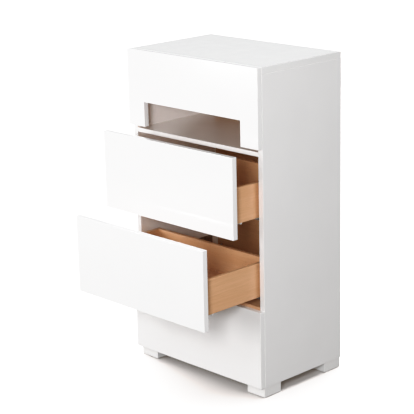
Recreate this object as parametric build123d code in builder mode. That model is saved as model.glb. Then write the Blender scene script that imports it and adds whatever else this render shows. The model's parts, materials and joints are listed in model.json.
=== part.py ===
"""Tall narrow chest: three handleless drawers under an open niche, on four block feet.

Millimetres. +X is to the right as seen from the front, -Y is the front, +Z is up.
The origin is on the floor, at the centre of the footprint with every drawer shut.
The upper and middle drawers are drawn pulled out, and the lower drawer shut.
"""
from build123d import *
import os

os.makedirs("parts", exist_ok=True)

# Overall size, with the drawers shut
width = 500
depth = 328
height = 910

# Boards
side_board = 16
top_board = 18
shelf_board = 12
back_board = 4
front_board = 16
box_board = 12
box_bottom_board = 5
edge_radius = 1
arris = 0.5
box_edge_radius = 1.5

# Feet
foot_size = 65
foot_inset = 3
foot_height = 29.5
glide_radius = 10
glide_height = 1.5
glide_nail_radius = 1.2
glide_nail_length = 12

# Drawer fronts and the shadow gap between them and the carcass
front_height = 219.5
front_reveal = 2
front_gap = 0.5

# Niche and its fascia
leg_width = 64
niche_top_above_fascia_foot = 70.5
niche_floor_below_fascia = 10.5
lower_shelf_above_front = 5.5
fascia_block = 20
fascia_block_length = 60
fascia_block_above_foot = 2
fascia_block_below_top = 10

# Drawer boxes: a gap each side for the runners, and the box's place behind its front
runner_gap = 9
box_height = 95
box_length = 268
box_above_front_foot = 32
box_bottom_recess = 13
groove = 6

# How far each drawer stands open, and how far it can go
drawer_travel = 208
drawers = {"lower": (0, 0), "middle": (1, drawer_travel), "upper": (2, 96.5)}

# Runners: a fixed steel runner on the side panel, a steel rail under the box, nylon glides between
runner_steel = 1.5
runner_length = 270
runner_setback = 13
runner_flange_above_box = 22
runner_web_below_box = 10
runner_inner_reach = 44
runner_lip = 12
rail_width = 18
rail_from_box_side = 1
rail_drop = 16
glide_block_length = 20
glide_block_width = 12
running_clearance = 0.3
clip_length = 30
clip_width = 11
clip_thickness = 1.5
clip_tab_length = 6
clip_tab_drop = 3
clip_tab_from_rear = 1.5
clip_setback = 2
rail_setback = 1

# Dowels, cam discs with their bolts, and where they stand from the boards' front and rear edges
hole_clearance = 0.05
dowel_radius = 3
dowel_length = 30
dowel_in_side = 10
dowel_row_inset = 40
cam_radius = 7.5
cam_depth = 12.5
cam_from_edge = 24
cam_row_inset = 80
cam_bolt_radius = 3
cam_bolt_in_board = 11
cam_bolt_from_disc = 0.2

# Countersunk screws: the block screws are the ones that go through the fascia's corner blocks
short_screw = {"radius": 1.75, "head": 3.2, "length": 16}
block_screw = {"radius": 1.75, "head": 3.5, "length": 28}
foot_screw = {"radius": 2, "head": 4, "length": 34}
front_screw = {"radius": 2, "head": 4, "length": 25}
foot_screw_spacing = 24
foot_screw_inset = 8
runner_screw_above_box_foot = 15
runner_screw_from_front = 37
runner_screw_from_rear = 40
front_screw_shares = (0.4, 0.75)

cam_bolt_length = cam_from_edge + cam_bolt_in_board - cam_radius - cam_bolt_from_disc

# Levels and planes worked out from the above
base = foot_height + glide_height
rear = depth / 2
front_face = -depth / 2
front_back = front_face + front_board
carcass_front = front_back + front_gap
carcass_depth = rear - carcass_front
side_top = height - top_board
inner_width = width - 2 * side_board
inner_half = inner_width / 2
back_inner = rear - back_board
row_pitch = front_height + front_reveal
fascia_foot = base + 3 * row_pitch
niche_floor = fascia_foot - niche_floor_below_fascia
niche_top = fascia_foot + niche_top_above_fascia_foot
lower_shelf_top = base + row_pitch + lower_shelf_above_front
shelf_depth = back_inner - carcass_front
shelf_centre = (back_inner + carcass_front) / 2
runner_start = carcass_front + runner_setback
box_half = inner_half - runner_gap
box_inner_half = box_half - box_board
foot_middle = width / 2 - foot_inset - foot_size / 2
foot_front = carcass_front + foot_size / 2
foot_rear = rear - foot_size / 2
hands = {"left": -1, "right": 1}
rows = [row for row, pull in drawers.values()]

# A cylinder that starts on its plane and runs outwards along the plane's normal, or inwards against it
outwards = (Align.CENTER, Align.CENTER, Align.MIN)
inwards = (Align.CENTER, Align.CENTER, Align.MAX)


def add_screws(planes, screw):
    """Countersunk wood screws, each with its head flush with its plane."""
    head_height = screw["head"] - screw["radius"]
    with Locations(*planes):
        Cylinder(screw["radius"], screw["length"], align=inwards)
        Cone(screw["radius"], screw["head"], head_height, align=inwards)


def cut_screw_holes(planes, screw, depth_cut):
    """Countersunk clearance holes for the same screws."""
    radius = screw["radius"] + hole_clearance
    head = screw["head"] + hole_clearance
    with Locations(*planes):
        CounterSinkHole(radius, head, depth_cut, counter_sink_angle=90)


def cut_pilot_holes(planes, screw):
    """Holes for the rest of the same screws, in the board that they bite into."""
    with Locations(*planes):
        Hole(screw["radius"] + hole_clearance, screw["length"] + hole_clearance)


def cut_round(planes, radius, length, align):
    """Round sockets with a little clearance."""
    with Locations(*planes):
        Cylinder(radius + hole_clearance, length + hole_clearance, align=align, mode=Mode.SUBTRACT)


# --- Where the fasteners are -------------------------------------------------------------------

# Dowels between the shelves or the bottom board and the side panels, along X
bottom_middle = base + side_board / 2
shelf_middles = [bottom_middle, lower_shelf_top - shelf_board / 2, niche_floor - shelf_board / 2]
dowel_rows = [carcass_front + dowel_row_inset, back_inner - dowel_row_inset]


def side_dowel_planes(sign, level):
    """Planes at the tip of each dowel inside a side panel, facing outwards."""
    tip = sign * (inner_half + dowel_in_side)
    return [Plane((tip, y, level), z_dir=(sign, 0, 0)) for y in dowel_rows]


def top_dowel_planes(sign):
    """Planes at the tip of each dowel inside the top panel, facing up."""
    middle = sign * (inner_half + side_board / 2)
    return [Plane((middle, y, side_top + dowel_in_side)) for y in dowel_rows]


def cut_dowel_holes(planes):
    cut_round(planes, dowel_radius, dowel_length, inwards)


# Cam fittings: a disc let into one board's face, and a bolt from it into the other board
cam_rows = [carcass_front + cam_row_inset, back_inner - cam_row_inset]


def bottom_disc_planes(sign):
    """Mouths of the bottom board's cam sockets, in its underside."""
    return [Plane((sign * (inner_half - cam_from_edge), y, base)) for y in cam_rows]


def side_disc_planes(sign):
    """Mouths of a side panel's cam sockets, high on its inner face."""
    level = side_top - cam_from_edge
    return [Plane((sign * inner_half, y, level), z_dir=(sign, 0, 0)) for y in cam_rows]


def bottom_bolt_planes(sign):
    """Tips of the bottom board's cam bolts, inside a side panel."""
    tip = sign * (inner_half + cam_bolt_in_board)
    return [Plane((tip, y, bottom_middle), z_dir=(sign, 0, 0)) for y in cam_rows]


def top_bolt_planes(sign):
    """Tips of a side panel's cam bolts, inside the top panel."""
    middle = sign * (inner_half + side_board / 2)
    return [Plane((middle, y, side_top + cam_bolt_in_board)) for y in cam_rows]


def cut_cam_sockets(planes):
    cut_round(planes, cam_radius, cam_depth, outwards)


def cut_cam_bolt_holes(planes):
    cut_round(planes, cam_bolt_radius, cam_from_edge + cam_bolt_in_board, inwards)


# Screws through the bottom board into the feet
foot_screw_planes = [
    Plane((sign * (foot_middle - foot_screw_inset), y + offset, base + side_board))
    for sign in hands.values()
    for y in (foot_front, foot_rear - back_board)
    for offset in (-foot_screw_spacing / 2, foot_screw_spacing / 2)
]

# Screws through the back board into the bottom board and the shelves
back_screw_planes = [
    Plane((x, rear, level), z_dir=(0, 1, 0))
    for level in shelf_middles
    for x in (-inner_width / 3, 0, inner_width / 3)
]

# Screws through the fascia's corner blocks, one into the fascia and one into the side panel
block_levels = [
    fascia_foot + fascia_block_above_foot,
    side_top - fascia_block_below_top - fascia_block_length,
]


def fascia_screw_plane(sign, level):
    x = sign * (inner_half - fascia_block / 2)
    return Plane((x, front_back + fascia_block, level + fascia_block_length / 3), z_dir=(0, 1, 0))


def block_screw_plane(sign, level):
    x = sign * (inner_half - fascia_block)
    y = front_back + fascia_block / 2 + front_gap
    return Plane((x, y, level + fascia_block_length * 2 / 3), z_dir=(-sign, 0, 0))


def box_foot(row):
    """Level of the lower edge of a drawer box's sides."""
    return base + row * row_pitch + box_above_front_foot


def runner_screw_planes(sign, row):
    """Heads of the screws that hold a fixed runner to its side panel."""
    level = box_foot(row) + runner_screw_above_box_foot
    face = sign * (inner_half - runner_steel)
    distances = (runner_screw_from_front, runner_length - runner_screw_from_rear)
    return [Plane((face, runner_start + distance, level), z_dir=(-sign, 0, 0)) for distance in distances]


# --- Carcass boards ----------------------------------------------------------------------------

with BuildPart() as top_panel:
    with BuildSketch(Plane.XY.offset(side_top)):
        with Locations((0, (carcass_front + rear) / 2)):
            Rectangle(width, carcass_depth)
    extrude(amount=top_board)
    fillet(top_panel.edges().filter_by(Axis.Z), edge_radius)
    fillet(top_panel.faces().sort_by(Axis.Z)[-1].edges(), arris)
    chamfer(top_panel.faces().sort_by(Axis.Z)[0].edges(), arris)
    with BuildSketch(Plane.XY.offset(side_top)):
        with Locations((0, rear - back_board / 2)):
            Rectangle(inner_width + side_board, back_board)
    extrude(amount=side_board / 2, mode=Mode.SUBTRACT)
    for sign in hands.values():
        cut_dowel_holes(top_dowel_planes(sign))
        cut_cam_bolt_holes(top_bolt_planes(sign))
top_panel.part.label = "top_panel"
export_step(top_panel.part, "parts/top_panel.step")

for hand, sign in hands.items():
    with BuildPart() as side_panel:
        with BuildSketch(Plane.XY.offset(base)):
            with Locations((sign * (inner_half + side_board / 2), (carcass_front + rear) / 2)):
                Rectangle(side_board, carcass_depth)
        extrude(amount=side_top - base)
        fillet(side_panel.edges().filter_by(Axis.Z).group_by(Axis.Y)[0], edge_radius)
        top_edges = side_panel.faces().sort_by(Axis.Z)[-1].edges().filter_by(Axis.Y).sort_by(Axis.X)
        chamfer(top_edges[-1 if sign > 0 else 0], arris)
        with BuildSketch(Plane.XY.offset(base)):
            with Locations((sign * (inner_half + side_board / 4), rear - back_board / 2)):
                Rectangle(side_board / 2, back_board)
        extrude(amount=side_top - base, mode=Mode.SUBTRACT)
        for level in shelf_middles:
            cut_dowel_holes(side_dowel_planes(sign, level))
        cut_dowel_holes(top_dowel_planes(sign))
        cut_cam_sockets(side_disc_planes(sign))
        cut_cam_bolt_holes(top_bolt_planes(sign) + bottom_bolt_planes(sign))
        for level in block_levels:
            cut_pilot_holes([block_screw_plane(sign, level)], block_screw)
        for row in rows:
            cut_pilot_holes(runner_screw_planes(sign, row), short_screw)
    side_panel.part.label = f"side_panel_{hand}"
    export_step(side_panel.part, f"parts/side_panel_{hand}.step")

with BuildPart() as bottom_panel:
    with BuildSketch(Plane.XY.offset(base)):
        with Locations((0, shelf_centre)):
            Rectangle(inner_width, shelf_depth)
    extrude(amount=side_board)
    for sign in hands.values():
        cut_dowel_holes(side_dowel_planes(sign, bottom_middle))
        cut_cam_sockets(bottom_disc_planes(sign))
        cut_cam_bolt_holes(bottom_bolt_planes(sign))
    cut_screw_holes(foot_screw_planes, foot_screw, side_board)
    cut_pilot_holes(back_screw_planes, short_screw)
bottom_panel.part.label = "bottom_panel"
export_step(bottom_panel.part, "parts/bottom_panel.step")

for name, top in {"lower_shelf": lower_shelf_top, "niche_shelf": niche_floor}.items():
    with BuildPart() as shelf:
        with BuildSketch(Plane.XY.offset(top - shelf_board)):
            with Locations((0, shelf_centre)):
                Rectangle(inner_width, shelf_depth)
        extrude(amount=shelf_board)
        fillet(shelf.edges().filter_by(Axis.X).group_by(Axis.Y)[0], edge_radius)
        for sign in hands.values():
            cut_dowel_holes(side_dowel_planes(sign, top - shelf_board / 2))
        cut_pilot_holes(back_screw_planes, short_screw)
    shelf.part.label = name
    export_step(shelf.part, f"parts/{name}.step")

with BuildPart() as back_panel:
    with BuildSketch(Plane.XY.offset(base)):
        with Locations((0, rear - back_board / 2)):
            Rectangle(inner_width + side_board, back_board)
    extrude(amount=side_top + side_board / 2 - base)
    cut_screw_holes(back_screw_planes, short_screw, back_board)
back_panel.part.label = "back_panel"
export_step(back_panel.part, "parts/back_panel.step")

# --- Fascia: an inverted U in front of the niche, carried on four corner blocks ------------------

with BuildPart() as fascia_panel:
    with BuildSketch(Plane.XZ.offset(-front_back)):
        with Locations((0, (fascia_foot + height) / 2)):
            Rectangle(width, height - fascia_foot)
        with Locations((0, (fascia_foot + niche_top) / 2)):
            Rectangle(width - 2 * leg_width, niche_top - fascia_foot, mode=Mode.SUBTRACT)
    extrude(amount=front_board)
    fillet(fascia_panel.edges(), edge_radius)
    for sign in hands.values():
        for level in block_levels:
            cut_pilot_holes([fascia_screw_plane(sign, level)], block_screw)
fascia_panel.part.label = "fascia_panel"
export_step(fascia_panel.part, "parts/fascia_panel.step")

with BuildPart() as fascia_blocks:
    for sign in hands.values():
        for level in block_levels:
            with BuildSketch(Plane.XY.offset(level)):
                with Locations((sign * (inner_half - fascia_block / 2), front_back + fascia_block / 2)):
                    Rectangle(fascia_block, fascia_block)
            extrude(amount=fascia_block_length)
            cut_screw_holes([fascia_screw_plane(sign, level)], block_screw, fascia_block)
            cut_screw_holes([block_screw_plane(sign, level)], block_screw, fascia_block)
fascia_blocks.part.label = "fascia_blocks"
export_step(fascia_blocks.part, "parts/fascia_blocks.step")

# --- Feet --------------------------------------------------------------------------------------

foot_centres = {
    f"{end}_{hand}": (sign * foot_middle, y)
    for end, y in {"front": foot_front, "rear": foot_rear}.items()
    for hand, sign in hands.items()
}

for place, (x, y) in foot_centres.items():
    with BuildPart() as foot:
        with BuildSketch(Plane.XY.offset(glide_height)):
            with Locations((x, y)):
                Rectangle(foot_size, foot_size)
        extrude(amount=foot_height)
        fillet(foot.edges().filter_by(Axis.Z) + foot.faces().sort_by(Axis.Z)[0].edges(), edge_radius)
        cut_pilot_holes(foot_screw_planes, foot_screw)
        cut_round([Plane((x, y, glide_height))], glide_nail_radius, glide_nail_length, outwards)
    foot.part.label = f"foot_{place}"
    export_step(foot.part, f"parts/foot_{place}.step")

with BuildPart() as foot_glides:
    for x, y in foot_centres.values():
        with BuildSketch(Plane.XY):
            with Locations((x, y)):
                Circle(glide_radius)
        extrude(amount=glide_height)
        with BuildSketch(Plane.XY.offset(glide_height)):
            with Locations((x, y)):
                Circle(glide_nail_radius)
        extrude(amount=glide_nail_length)
foot_glides.part.label = "foot_glides"
export_step(foot_glides.part, "parts/foot_glides.step")

# --- Carcass fasteners -------------------------------------------------------------------------

with BuildPart() as carcass_dowels:
    for sign in hands.values():
        planes = top_dowel_planes(sign)
        for level in shelf_middles:
            planes = planes + side_dowel_planes(sign, level)
        with Locations(*planes):
            Cylinder(dowel_radius, dowel_length, align=inwards)
carcass_dowels.part.label = "carcass_dowels"
export_step(carcass_dowels.part, "parts/carcass_dowels.step")

with BuildPart() as cam_fittings:
    for sign in hands.values():
        with Locations(*bottom_disc_planes(sign), *side_disc_planes(sign)):
            Cylinder(cam_radius, cam_depth, align=outwards)
        with Locations(*bottom_bolt_planes(sign), *top_bolt_planes(sign)):
            Cylinder(cam_bolt_radius, cam_bolt_length, align=inwards)
cam_fittings.part.label = "cam_fittings"
export_step(cam_fittings.part, "parts/cam_fittings.step")

with BuildPart() as foot_screws:
    add_screws(foot_screw_planes, foot_screw)
foot_screws.part.label = "foot_screws"
export_step(foot_screws.part, "parts/foot_screws.step")

with BuildPart() as block_screws:
    for sign in hands.values():
        for level in block_levels:
            add_screws([fascia_screw_plane(sign, level), block_screw_plane(sign, level)], block_screw)
block_screws.part.label = "block_screws"
export_step(block_screws.part, "parts/block_screws.step")

with BuildPart() as short_screws:
    add_screws(back_screw_planes, short_screw)
    for sign in hands.values():
        for row in rows:
            add_screws(runner_screw_planes(sign, row), short_screw)
short_screws.part.label = "short_screws"
export_step(short_screws.part, "parts/short_screws.step")

# --- Fixed runners -----------------------------------------------------------------------------

glide_middle = box_inner_half - rail_from_box_side - rail_width / 2

for drawer, (row, pull) in drawers.items():
    foot_level = box_foot(row)
    web = foot_level - runner_web_below_box
    for hand, sign in hands.items():
        outer = sign * inner_half
        inner = sign * (inner_half - runner_inner_reach)
        with BuildPart() as runner:
            with BuildSketch(Plane.XZ.offset(-runner_start)):
                with BuildLine():
                    Polyline(
                        (outer, foot_level + runner_flange_above_box),
                        (outer, web),
                        (inner, web),
                        (inner, web + runner_lip),
                        (inner + sign * runner_steel, web + runner_lip),
                        (inner + sign * runner_steel, web + runner_steel),
                        (outer - sign * runner_steel, web + runner_steel),
                        (outer - sign * runner_steel, foot_level + runner_flange_above_box),
                        close=True,
                    )
                make_face()
            extrude(amount=-runner_length)
            cut_screw_holes(runner_screw_planes(sign, row), short_screw, runner_steel)
        runner.part.label = f"{drawer}_runner_{hand}"
        export_step(runner.part, f"parts/{drawer}_runner_{hand}.step")

with BuildPart() as runner_glides:
    glide_centre = runner_start + glide_block_length / 2
    for row in rows:
        web_top = box_foot(row) - runner_web_below_box + runner_steel
        rail_under = box_foot(row) + box_bottom_recess - runner_steel - running_clearance
        with BuildSketch(Plane.XY.offset(web_top)):
            with Locations((-glide_middle, glide_centre), (glide_middle, glide_centre)):
                Rectangle(glide_block_width, glide_block_length)
        extrude(amount=rail_under - web_top)
runner_glides.part.label = "runner_glides"
export_step(runner_glides.part, "parts/runner_glides.step")

# --- Drawers -----------------------------------------------------------------------------------

for drawer, (row, pull) in drawers.items():
    front_foot = base + row * row_pitch
    foot_level = box_foot(row)
    bottom_level = foot_level + box_bottom_recess
    box_start = front_back - pull
    box_end = box_start + box_length
    inner_start = box_start + box_board
    front_screw_planes = [
        Plane((x, inner_start, foot_level + level), z_dir=(0, 1, 0))
        for x in (-box_half / 2, box_half / 2)
        for level in (box_height * share for share in front_screw_shares)
    ]

    with BuildPart() as drawer_front:
        with BuildSketch(Plane.XZ.offset(-box_start)):
            with Locations((0, front_foot + front_height / 2)):
                Rectangle(width, front_height)
        extrude(amount=front_board)
        fillet(drawer_front.edges(), edge_radius)
        cut_pilot_holes(front_screw_planes, front_screw)
    drawer_front.part.label = f"{drawer}_drawer_front"
    export_step(drawer_front.part, f"parts/{drawer}_drawer_front.step")

    for hand, sign in hands.items():
        with BuildPart() as box_side:
            with BuildSketch(Plane.XY.offset(foot_level)):
                with Locations((sign * (box_half - box_board / 2), (box_start + box_end) / 2)):
                    Rectangle(box_board, box_length)
            extrude(amount=box_height)
            fillet(box_side.faces().sort_by(Axis.Z)[-1].edges().filter_by(Axis.Y), box_edge_radius)
            with BuildSketch(Plane.XY.offset(bottom_level)):
                with Locations((sign * (box_inner_half + groove / 2), (inner_start - groove + box_end) / 2)):
                    Rectangle(groove, box_end - inner_start + groove)
            extrude(amount=box_bottom_board, mode=Mode.SUBTRACT)
        box_side.part.label = f"{drawer}_drawer_side_{hand}"
        export_step(box_side.part, f"parts/{drawer}_drawer_side_{hand}.step")

    with BuildPart() as inner_front:
        with BuildSketch(Plane.XY.offset(foot_level)):
            with Locations((0, box_start + box_board / 2)):
                Rectangle(2 * box_inner_half, box_board)
        extrude(amount=box_height)
        with BuildSketch(Plane.XY.offset(bottom_level)):
            with Locations((0, inner_start - groove / 2)):
                Rectangle(2 * box_inner_half, groove)
        extrude(amount=box_bottom_board, mode=Mode.SUBTRACT)
        cut_screw_holes(front_screw_planes, front_screw, box_board)
    inner_front.part.label = f"{drawer}_drawer_inner_front"
    export_step(inner_front.part, f"parts/{drawer}_drawer_inner_front.step")

    with BuildPart() as box_bottom:
        with BuildSketch(Plane.XY.offset(bottom_level)):
            with Locations((0, (inner_start - groove + box_end) / 2)):
                Rectangle(2 * (box_inner_half + groove), box_end - inner_start + groove)
        extrude(amount=box_bottom_board)
    box_bottom.part.label = f"{drawer}_drawer_bottom"
    export_step(box_bottom.part, f"parts/{drawer}_drawer_bottom.step")

    with BuildPart() as box_back:
        with BuildSketch(Plane.XY.offset(bottom_level + box_bottom_board)):
            with Locations((0, box_end - box_board / 2)):
                Rectangle(2 * box_inner_half, box_board)
        extrude(amount=box_height - box_bottom_recess - box_bottom_board)
        fillet(box_back.faces().sort_by(Axis.Z)[-1].edges().filter_by(Axis.X), box_edge_radius)
    box_back.part.label = f"{drawer}_drawer_back"
    export_step(box_back.part, f"parts/{drawer}_drawer_back.step")

    rail_start = inner_start + rail_setback
    for hand, sign in hands.items():
        outer = sign * (box_inner_half - rail_from_box_side)
        inner = outer - sign * rail_width
        step = sign * runner_steel
        with BuildPart() as rail:
            with BuildSketch(Plane.XZ.offset(-rail_start)):
                with BuildLine():
                    Polyline(
                        (outer, bottom_level),
                        (outer, bottom_level - rail_drop),
                        (outer - step, bottom_level - rail_drop),
                        (outer - step, bottom_level - runner_steel),
                        (inner + step, bottom_level - runner_steel),
                        (inner + step, bottom_level - rail_drop),
                        (inner, bottom_level - rail_drop),
                        (inner, bottom_level),
                        close=True,
                    )
                make_face()
            extrude(amount=-(box_end - rail_start))
        rail.part.label = f"{drawer}_drawer_rail_{hand}"
        export_step(rail.part, f"parts/{drawer}_drawer_rail_{hand}.step")

    with BuildPart() as drawer_glides:
        web_top = foot_level - runner_web_below_box + runner_steel + running_clearance
        glide_centre = box_end - glide_block_length / 2
        with BuildSketch(Plane.XY.offset(web_top)):
            with Locations((-glide_middle, glide_centre), (glide_middle, glide_centre)):
                Rectangle(glide_block_width, glide_block_length)
        extrude(amount=bottom_level - runner_steel - web_top)
    drawer_glides.part.label = f"{drawer}_drawer_glides"
    export_step(drawer_glides.part, f"parts/{drawer}_drawer_glides.step")

    # Front locking clips: a plate under each box side, with a thumb tab that hangs below it
    with BuildPart() as clips:
        clip_middle = box_inner_half + clip_width / 2
        clip_centre = inner_start + clip_setback + clip_length / 2
        tab_centre = clip_centre + clip_length / 2 - clip_tab_from_rear - clip_tab_length / 2
        with BuildSketch(Plane.XY.offset(foot_level - clip_thickness)):
            with Locations((-clip_middle, clip_centre), (clip_middle, clip_centre)):
                Rectangle(clip_width, clip_length)
        extrude(amount=clip_thickness)
        with BuildSketch(Plane.XY.offset(foot_level - clip_thickness - clip_tab_drop)):
            with Locations((-clip_middle, tab_centre), (clip_middle, tab_centre)):
                Rectangle(clip_width, clip_tab_length)
        extrude(amount=clip_tab_drop)
    clips.part.label = f"{drawer}_drawer_clips"
    export_step(clips.part, f"parts/{drawer}_drawer_clips.step")

    with BuildPart() as front_screws:
        add_screws(front_screw_planes, front_screw)
    front_screws.part.label = f"{drawer}_drawer_screws"
    export_step(front_screws.part, f"parts/{drawer}_drawer_screws.step")
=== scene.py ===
"""Looks for the tall narrow chest of drawers: white high-gloss boards outside, beech-effect inside.

Metres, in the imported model's frame: +X right as seen from the front, -Y front, +Z up, floor at z = 0.
"""
import json
import math

import bpy
from mathutils import Matrix, Vector


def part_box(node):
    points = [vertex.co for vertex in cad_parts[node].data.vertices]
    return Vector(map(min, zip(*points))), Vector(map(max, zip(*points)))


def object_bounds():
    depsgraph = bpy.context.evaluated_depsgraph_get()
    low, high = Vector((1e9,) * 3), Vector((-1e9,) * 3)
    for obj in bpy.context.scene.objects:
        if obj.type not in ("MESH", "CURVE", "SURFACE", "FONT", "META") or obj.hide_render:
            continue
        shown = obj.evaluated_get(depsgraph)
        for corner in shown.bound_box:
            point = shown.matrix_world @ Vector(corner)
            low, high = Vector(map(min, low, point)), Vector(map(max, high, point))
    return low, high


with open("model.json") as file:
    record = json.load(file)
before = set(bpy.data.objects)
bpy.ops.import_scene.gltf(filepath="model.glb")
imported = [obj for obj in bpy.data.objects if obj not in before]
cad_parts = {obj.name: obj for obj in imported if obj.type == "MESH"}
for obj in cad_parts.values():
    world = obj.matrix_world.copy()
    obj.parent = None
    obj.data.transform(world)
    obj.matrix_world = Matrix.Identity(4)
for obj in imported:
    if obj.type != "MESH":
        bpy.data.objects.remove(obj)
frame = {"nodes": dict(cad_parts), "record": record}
cad_low, cad_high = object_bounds()
nodes = frame["nodes"]
MM = 0.001

# --- Node-tree helpers ---------------------------------------------------------------------------


class Material:
    """A Principled material whose texture nodes are added by short calls."""

    def __init__(self, name, **constants):
        self.made = bpy.data.materials.new(name)
        self.made.use_nodes = True
        self.tree = self.made.node_tree
        self.shader = self.tree.nodes["Principled BSDF"]
        for socket, value in constants.items():
            self.shader.inputs[socket.replace("_", " ")].default_value = value

    def node(self, kind, inputs=None, **settings):
        """A new node, with its settings and its inputs: an input is a value or another node's output."""
        made = self.tree.nodes.new(kind)
        for key, value in settings.items():
            setattr(made, key, value)
        for key, value in (inputs or {}).items():
            if isinstance(value, bpy.types.NodeSocket):
                self.tree.links.new(value, made.inputs[key])
            else:
                made.inputs[key].default_value = value
        return made

    def feed(self, socket, output):
        self.tree.links.new(output, self.shader.inputs[socket])

    def place(self, scale):
        """The piece's own coordinates in metres, stretched by scale along X, Y and Z."""
        own = self.node("ShaderNodeTexCoord").outputs["Object"]
        return self.node("ShaderNodeMapping", {"Vector": own, "Scale": scale}).outputs["Vector"]

    def noise(self, place, detail=2.0, roughness=0.5):
        """Noise from 0 to 1, one cell to each unit of place."""
        inputs = {"Vector": place, "Scale": 1.0, "Detail": detail, "Roughness": roughness}
        return self.node("ShaderNodeTexNoise", inputs).outputs["Fac"]

    def spread(self, value, low, high, start=0.0, end=1.0):
        """value from start to end, spread over low to high and held there."""
        inputs = {"Value": value, "From Min": start, "From Max": end, "To Min": low, "To Max": high}
        return self.node("ShaderNodeMapRange", inputs).outputs["Result"]

    def maths(self, operation, first, second):
        return self.node("ShaderNodeMath", {0: first, 1: second}, operation=operation).outputs["Value"]

    def mix(self, amount, first, second):
        """first and second colours mixed by amount, in the node's own sockets for colours."""
        amount_socket, first_socket, second_socket, colour_output = 0, 6, 7, 2
        inputs = {amount_socket: amount, first_socket: first, second_socket: second}
        return self.node("ShaderNodeMix", inputs, data_type="RGBA").outputs[colour_output]

    def facing(self, direction):
        """1 on the faces that look in that direction of the piece's own axes, 0 on all others."""
        own_normal = self.node("ShaderNodeTexCoord").outputs["Normal"]
        inputs = {0: own_normal, 1: direction}
        alike = self.node("ShaderNodeVectorMath", inputs, operation="DOT_PRODUCT").outputs["Value"]
        return self.spread(alike, 0.0, 1.0, 0.7, 0.9)

    def edges(self, radius):
        """1 on rounded or sharp edges, 0 on flat faces further from them than radius."""
        round_normal = self.node("ShaderNodeBevel", {"Radius": radius}, samples=4).outputs["Normal"]
        true_normal = self.node("ShaderNodeNewGeometry").outputs["True Normal"]
        inputs = {0: round_normal, 1: true_normal}
        alike = self.node("ShaderNodeVectorMath", inputs, operation="DOT_PRODUCT").outputs["Value"]
        return self.spread(alike, 1.0, 0.0, 0.75, 0.98)

    def bump(self, height, distance, below=None):
        """Bump of that height in metres, on top of the bump below it."""
        inputs = {"Height": height, "Distance": distance, "Strength": 1.0}
        if below is not None:
            inputs["Normal"] = below
        return self.node("ShaderNodeBump", inputs).outputs["Normal"]


def colour(red, green, blue):
    return (red, green, blue, 1.0)


def shaded(tint, times):
    """The colour of that tint, times as bright."""
    return colour(*(times * channel for channel in tint))


def along(axis, lengthwise, across):
    """A scale for place: lengthwise along the named axis, across along the other two."""
    return tuple(lengthwise if letter == axis else across for letter in "XYZ")


def evenly(scale):
    return (scale, scale, scale)


# --- Materials -----------------------------------------------------------------------------------

# Painted bounce light: a warm tint for the inner white faces, standing in for the light thrown back by the
# beech inside.
PAINTED_WARM_BOUNCE = (0.95, 0.875, 0.835)


def gloss_lacquer(name, tint, worn_tint, haze=0.16, inward=None):
    """Sprayed white lacquer: a clear, slightly wavy gloss with faint orange peel, softer at the edges.

    The faces that look along inward get a painted warm tint, standing in for the light that the beech
    inside bounces onto them.
    """
    lacquer = Material(name, IOR=1.5, Coat_Weight=1.0, Coat_Roughness=0.035, Coat_IOR=1.5)
    cloud = lacquer.noise(lacquer.place(evenly(9)), 3.0)
    patchy = lacquer.spread(cloud, 0.0, 1.0, 0.35, 0.65)
    shade = lacquer.mix(patchy, colour(*tint), shaded(tint, 0.985))
    if inward is not None:
        # Painted warm bounce on the faces that look inward.
        shade = lacquer.mix(lacquer.facing(inward), shade, colour(*PAINTED_WARM_BOUNCE))
    edges = lacquer.edges(1.6 * MM)
    scuffs = lacquer.noise(lacquer.place(evenly(160)), 4.0, 0.65)
    wear = lacquer.maths("MULTIPLY", edges, lacquer.spread(scuffs, 0.15, 1.0, 0.42, 0.62))
    lacquer.feed("Base Color", lacquer.mix(wear, shade, colour(*worn_tint)))
    smears = lacquer.noise(lacquer.place(evenly(22)), 4.0, 0.6)
    wiped = lacquer.spread(smears, haze - 0.02, haze + 0.03, 0.35, 0.7)
    lacquer.feed("Roughness", lacquer.maths("ADD", wiped, lacquer.maths("MULTIPLY", wear, 0.2)))
    wave = lacquer.bump(lacquer.noise(lacquer.place(evenly(22)), 1.0), 0.012 * MM)
    peel = lacquer.bump(lacquer.noise(lacquer.place(evenly(420)), 1.0), 0.006 * MM, wave)
    lacquer.feed("Normal", peel)
    lacquer.feed("Coat Normal", peel)
    return lacquer.made


def melamine(name, tint):
    """Plain white melamine-faced board: a fine pebbled satin."""
    board = Material(name, IOR=1.5)
    cloud = board.noise(board.place(evenly(14)), 4.0)
    board.feed("Base Color", board.mix(cloud, colour(*tint), shaded(tint, 0.95)))
    pebbles = board.noise(board.place(evenly(1100)), 2.0)
    board.feed("Roughness", board.spread(pebbles, 0.36, 0.52, 0.3, 0.7))
    board.feed("Normal", board.bump(pebbles, 0.03 * MM))
    return board.made


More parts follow.
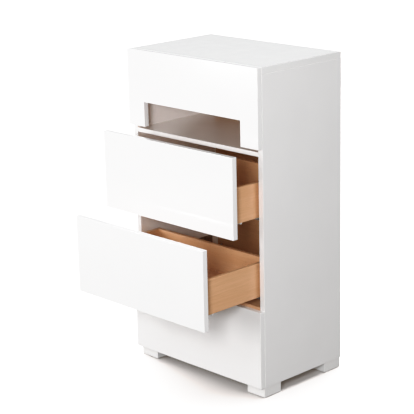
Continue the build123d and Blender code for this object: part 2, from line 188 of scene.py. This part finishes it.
def beech(name, grain, pale, deep, gloss=0.3):
    """Satin beech-effect board: fine fibres along the grain axis, broad tone bands, short dark flecks."""
    wood = Material(name, IOR=1.48, Coat_Weight=0.35, Coat_Roughness=0.22)
    bands = wood.noise(wood.place(along(grain, 1.1, 34)), 2.0)
    streaks = wood.noise(wood.place(along(grain, 5, 230)), 3.0, 0.6)
    fibres = wood.noise(wood.place(along(grain, 26, 1500)), 2.0, 0.6)
    cells = wood.node(
        "ShaderNodeTexVoronoi",
        {"Vector": wood.place(along(grain, 95, 620)), "Scale": 1.0, "Randomness": 1.0},
    )
    fleck = wood.spread(cells.outputs["Distance"], 1.0, 0.0, 0.12, 0.3)
    chosen = wood.node("ShaderNodeSeparateColor", {"Color": cells.outputs["Color"]}).outputs["Red"]
    fleck = wood.maths("MULTIPLY", fleck, wood.spread(chosen, 0.0, 1.0, 0.62, 0.7))
    broad = wood.spread(bands, 0.0, 0.6, 0.3, 0.7)
    tone = wood.maths("ADD", broad, wood.spread(streaks, 0.0, 0.4, 0.3, 0.7))
    ground = wood.mix(tone, colour(*pale), colour(*deep))
    ground = wood.mix(wood.spread(fibres, 0.0, 0.35, 0.4, 0.7), ground, shaded(deep, 0.72))
    ground = wood.mix(wood.maths("MULTIPLY", fleck, 0.55), ground, shaded(deep, 0.45))
    edges = wood.edges(1.2 * MM)
    rubbed = wood.maths("MULTIPLY", edges, 0.3)
    wood.feed("Base Color", wood.mix(rubbed, ground, shaded(deep, 0.7)))
    dull = wood.spread(streaks, gloss, gloss + 0.14, 0.3, 0.7)
    wood.feed("Roughness", wood.maths("ADD", dull, wood.maths("MULTIPLY", edges, 0.12)))
    pores = wood.bump(fibres, 0.05 * MM)
    wood.feed("Normal", wood.bump(wood.maths("SUBTRACT", 1.0, fleck), 0.04 * MM, pores))
    return wood.made


def rolled_steel(name, tint):
    """Zinc-plated rolled steel: cool grey with faint spangles and rolling lines along Y."""
    steel = Material(name, Metallic=1.0)
    spangle = steel.node("ShaderNodeTexVoronoi", {"Vector": steel.place(evenly(190)), "Scale": 1.0})
    flake = steel.node("ShaderNodeSeparateColor", {"Color": spangle.outputs["Color"]}).outputs["Green"]
    rolled = steel.noise(steel.place(along("Y", 12, 900)), 3.0)
    steel.feed("Base Color", steel.mix(steel.spread(flake, 0.0, 0.6), colour(*tint), shaded(tint, 0.78)))
    uneven = steel.maths("ADD", steel.maths("MULTIPLY", flake, 0.4), rolled)
    rough = steel.spread(uneven, 0.24, 0.46, 0.3, 1.0)
    edges = steel.edges(0.8 * MM)
    steel.feed("Roughness", steel.maths("SUBTRACT", rough, steel.maths("MULTIPLY", edges, 0.1)))
    steel.feed("Normal", steel.bump(rolled, 0.02 * MM))
    return steel.made


def plated(name, tint):
    """Passivated zinc plating on small fasteners, with a tarnished bloom."""
    metal = Material(name, Metallic=1.0)
    bloom = metal.noise(metal.place(evenly(420)), 3.0)
    red, green, blue = tint
    tarnished = colour(0.75 * red, 0.78 * green, 0.9 * blue)
    metal.feed("Base Color", metal.mix(bloom, colour(*tint), tarnished))
    metal.feed("Roughness", metal.spread(bloom, 0.22, 0.48, 0.3, 0.7))
    metal.feed("Normal", metal.bump(metal.noise(metal.place(evenly(2600)), 2.0), 0.01 * MM))
    return metal.made


def moulded(name, tint, gloss, grain=1400, soft=0.0):
    """Injection-moulded plastic: an even colour with spark-eroded grain, and rubbed edges."""
    plastic = Material(name, IOR=1.49, Subsurface_Weight=soft, Subsurface_Scale=0.002)
    cloud = plastic.noise(plastic.place(evenly(60)), 3.0)
    shade = plastic.mix(cloud, colour(*tint), shaded(tint, 0.9))
    edges = plastic.edges(0.7 * MM)
    pale = colour(*(c + 0.25 * (1 - c) for c in tint))
    plastic.feed("Base Color", plastic.mix(plastic.maths("MULTIPLY", edges, 0.5), shade, pale))
    pits = plastic.noise(plastic.place(evenly(grain)), 2.0)
    plastic.feed("Roughness", plastic.spread(pits, gloss - 0.06, gloss + 0.1, 0.3, 0.7))
    plastic.feed("Normal", plastic.bump(pits, 0.02 * MM))
    return plastic.made


# --- What each CAD node is made of ---------------------------------------------------------------

WHITE = (0.905, 0.907, 0.91)
WORN_WHITE = (0.86, 0.855, 0.84)
BEECH_PALE = (0.77, 0.445, 0.262)
BEECH_DEEP = (0.66, 0.35, 0.192)
SHELF_PALE = (0.76, 0.44, 0.27)
SHELF_DEEP = (0.64, 0.345, 0.20)
BACK_PALE = (0.62, 0.33, 0.18)
BACK_DEEP = (0.50, 0.25, 0.13)

INWARD = {
    "right": (1.0, 0.0, 0.0),
    "left": (-1.0, 0.0, 0.0),
    "back": (0.0, 1.0, 0.0),
    "down": (0.0, 0.0, -1.0),
    "up": (0.0, 0.0, 1.0),
}


def white_board(looking):
    """The lacquered board whose inner face looks that way and carries the painted warm bounce tint."""
    name = "gloss_white_board_warm_bounce_" + looking
    return gloss_lacquer(name, WHITE, WORN_WHITE, inward=INWARD[looking])


materials = {
    **{looking: white_board(looking) for looking in ("right", "left", "back", "down")},
    # Painted light: the shelf's white is paler than the other boards' to brighten its shaded front edge,
    # and its top carries the painted warm bounce.
    "gloss_white_shelf": gloss_lacquer(
        "gloss_white_shelf", (0.93, 0.925, 0.92), (0.83, 0.82, 0.80), haze=0.2, inward=INWARD["up"]
    ),
    "gloss_white_foot": gloss_lacquer(
        "gloss_white_foot", (0.89, 0.89, 0.885), (0.82, 0.81, 0.79), haze=0.26
    ),
    "white_board": melamine("white_board", (0.82, 0.81, 0.80)),
    "beech_along": beech("beech_along", "Y", BEECH_PALE, BEECH_DEEP),
    "beech_across": beech("beech_across", "X", BEECH_PALE, BEECH_DEEP),
    "beech_drawer_bottom": beech("beech_drawer_bottom", "X", SHELF_PALE, SHELF_DEEP, gloss=0.36),
    "beech_shelf_board": beech("beech_shelf_board", "X", SHELF_PALE, SHELF_DEEP, gloss=0.34),
    "beech_back_board": beech("beech_back_board", "X", BACK_PALE, BACK_DEEP, gloss=0.36),
    "solid_beech": beech("solid_beech", "Z", SHELF_PALE, SHELF_DEEP, gloss=0.5),
    # Painted shade: the zinc grey is darker than bare plating, so the steel parts read dark as they do in
    # the shadow under the drawers.
    "zinc_plated_steel": rolled_steel("zinc_plated_steel", (0.46, 0.47, 0.49)),
    "plated_fasteners": plated("plated_fasteners", (0.74, 0.68, 0.52)),
    "nylon": moulded("nylon", (0.80, 0.79, 0.74), gloss=0.42, soft=0.25),
    "clip_plastic": moulded("clip_plastic", (0.70, 0.70, 0.69), gloss=0.38),
    "foot_glide_plastic": moulded("foot_glide_plastic", (0.06, 0.058, 0.055), gloss=0.45),
}


def inner_face(low, high):
    """Which way a board's inner face looks: across its thickness, towards the middle of the chest."""
    size = high - low
    middle = (low + high) / 2
    if size.x < size.y and size.x < size.z:
        return "right" if middle.x < 0 else "left"
    return "down" if size.z < size.y else "back"


def material_for(node, slot):
    """White boards differ in where their inner face is, and drawer boards in which way their grain runs."""
    low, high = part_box(node)
    if slot == "gloss_white_board":
        return materials[inner_face(low, high)]
    if slot == "beech_drawer_board":
        return materials["beech_along" if high.y - low.y > high.x - low.x else "beech_across"]
    return materials[slot]


for part in frame["record"]["subparts"]:
    target = nodes[part["node"]]
    finish = material_for(part["node"], part["material_slot"])
    if not target.data.materials:
        target.data.materials.append(finish)
    for slot in target.material_slots:
        slot.material = finish

# --- Studio: floor, light and camera -------------------------------------------------------------


def wide_plane(name, drop, tint):
    """A level matt plane that reaches far past the picture, just under the feet."""
    paint = Material(name, Base_Color=colour(*tint), Specular_IOR_Level=0.1)
    paint.feed("Roughness", paint.spread(paint.noise(paint.place(evenly(30)), 3.0), 0.7, 0.9))
    half = 20.0
    corners = [(-half, -half, 0), (half, -half, 0), (half, half, 0), (-half, half, 0)]
    mesh = bpy.data.meshes.new(name)
    mesh.from_pydata(corners, [], [(0, 1, 2, 3)])
    mesh.materials.append(paint.made)
    plane = bpy.data.objects.new(name, mesh)
    bpy.context.scene.collection.objects.link(plane)
    plane.location.z = cad_low.z - drop
    return plane


def studio_floor():
    """The camera sees an overexposed white floor, but a duller one throws its light back at the object."""
    shown = wide_plane("studio_floor", 0.2 * MM, (0.60, 0.572, 0.558))
    shown.visible_diffuse = False
    shown.visible_glossy = False
    duller = wide_plane("studio_bounce", 0.6 * MM, (0.44, 0.39, 0.355))
    duller.visible_camera = False
    return shown


def studio_sky(strength, mirrored, seen):
    """A dim even room light, with paler walls for gloss to mirror and plain white for the camera to see."""
    world = bpy.data.worlds.new("studio")
    world.use_nodes = True
    tree = world.node_tree
    background = tree.nodes["Background"]
    background.inputs["Color"].default_value = colour(1.0, 1.0, 1.0)
    rays = tree.nodes.new("ShaderNodeLightPath").outputs
    for_gloss = tree.nodes.new("ShaderNodeMapRange")
    for_gloss.inputs["To Min"].default_value = strength
    for_gloss.inputs["To Max"].default_value = mirrored
    for_camera = tree.nodes.new("ShaderNodeMapRange")
    for_camera.inputs["To Max"].default_value = seen
    tree.links.new(rays["Is Glossy Ray"], for_gloss.inputs["Value"])
    tree.links.new(for_gloss.outputs["Result"], for_camera.inputs["To Min"])
    tree.links.new(rays["Is Camera Ray"], for_camera.inputs["Value"])
    tree.links.new(for_camera.outputs["Result"], background.inputs["Strength"])
    bpy.context.scene.world = world


def place_lamp(name, kind, place, towards_light, energy):
    data = bpy.data.lights.new(name, kind)
    data.energy = energy
    lamp = bpy.data.objects.new(name, data)
    lamp.rotation_euler = Vector(towards_light).to_track_quat("Z", "Y").to_euler()
    lamp.location = place
    bpy.context.scene.collection.objects.link(lamp)
    return lamp


def soft_sun(name, azimuth, elevation, spread, strength):
    """A far lamp: azimuth turns from the front (0) to the right (90), all angles are in degrees."""
    turn, rise = math.radians(azimuth), math.radians(elevation)
    towards = Vector((math.sin(turn) * math.cos(rise), -math.cos(turn) * math.cos(rise), math.sin(rise)))
    lamp = place_lamp(name, "SUN", towards * 3, towards, strength)
    lamp.data.angle = math.radians(spread)
    return lamp


def softbox(name, place, width, power):
    """A square lamp that faces the middle of the chest."""
    middle = Vector((0, 0, (cad_low.z + cad_high.z) / 2))
    lamp = place_lamp(name, "AREA", place, Vector(place) - middle, power)
    lamp.data.size = width
    return lamp


def only_onto(lamp, receiver):
    """The lamp lights that object alone, though everything still throws its shadow there."""
    lit = bpy.data.collections.new(lamp.name + "_receivers")
    lit.objects.link(receiver)
    lamp.light_linking.receiver_collection = lit


def studio_lamps(floor):
    softbox("key_box", (-1.42, -2.11, 0.80), width=0.7, power=29.5)
    softbox("upper_box", (-1.2, -2.0, 1.55), width=0.5, power=7.0)
    soft_sun("low_light", azimuth=36, elevation=8, spread=12, strength=0.53)
    rear = soft_sun("rear_light", azimuth=-140, elevation=25, spread=60, strength=1.3)
    rear.visible_glossy = False
    softbox("front_box", (1.6, -2.2, 1.3), width=0.5, power=36.0).visible_glossy = False
    softbox("side_box", (2.6, 0.0, 1.8), width=1.2, power=18.6)
    softbox("top_box", (0.0, 0.0, 2.4), width=1.0, power=8.0).visible_glossy = False
    only_onto(soft_sun("floor_light", azimuth=-110, elevation=62, spread=100, strength=15.5), floor)


def film_response(whitest, shoulder, green_toe, blue_toe):
    """A film-like tone curve, with whitest shown as pure white and shadows that turn a little warm.

    The shoulder's points are (scene brightness, shown brightness). The toes then change green and blue
    alone, from one shown brightness to another.
    """
    view = bpy.context.scene.view_settings
    view.view_transform = "Standard"
    view.use_curve_mapping = True
    view.curve_mapping.white_level = (whitest, whitest, whitest)
    curves = view.curve_mapping.curves
    green, blue, combined = 1, 2, 3
    changes = ((combined, shoulder, whitest), (green, green_toe, 1), (blue, blue_toe, 1))
    for channel, points, brightest in changes:
        curve = curves[channel]
        for before, after in points:
            curve.points.new(before / brightest, after)
    view.curve_mapping.update()


def studio_camera(place, yaw, pitch, roll, lens):
    """A camera turned yaw from straight ahead (+Y) to the left, then pitched and rolled, all in degrees."""
    yaw, pitch, roll = (math.radians(angle) for angle in (yaw, pitch, roll))
    ahead = Vector((-math.sin(yaw) * math.cos(pitch), math.cos(yaw) * math.cos(pitch), math.sin(pitch)))
    right = Vector((math.cos(yaw), math.sin(yaw), 0))
    up = right.cross(ahead)
    across = right * math.cos(roll) + up * math.sin(roll)
    upright = up * math.cos(roll) - right * math.sin(roll)
    turn = Matrix((across, upright, -ahead)).transposed()
    data = bpy.data.cameras.new("studio_camera")
    data.lens = lens
    data.sensor_width = 36
    data.clip_end = 100
    camera = bpy.data.objects.new("studio_camera", data)
    camera.matrix_world = Matrix.Translation(place) @ turn.to_4x4()
    bpy.context.scene.collection.objects.link(camera)
    bpy.context.scene.camera = camera


studio_sky(strength=0.24, mirrored=0.8, seen=1.4)
studio_lamps(studio_floor())
film_response(
    whitest=1.3,
    shoulder=[(0.25, 0.25), (0.5, 0.505), (0.75, 0.765), (0.86, 0.875), (0.97, 0.93)],
    green_toe=[(0.05, 0.043), (0.12, 0.112), (0.22, 0.219), (0.35, 0.35), (0.6, 0.6)],
    blue_toe=[(0.05, 0.037), (0.12, 0.106), (0.22, 0.216), (0.35, 0.35), (0.6, 0.6)],
)
studio_camera(Vector((2.770, -2.797, 1.571)), yaw=45.87, pitch=-15.69, roll=-1.34, lens=126.24)
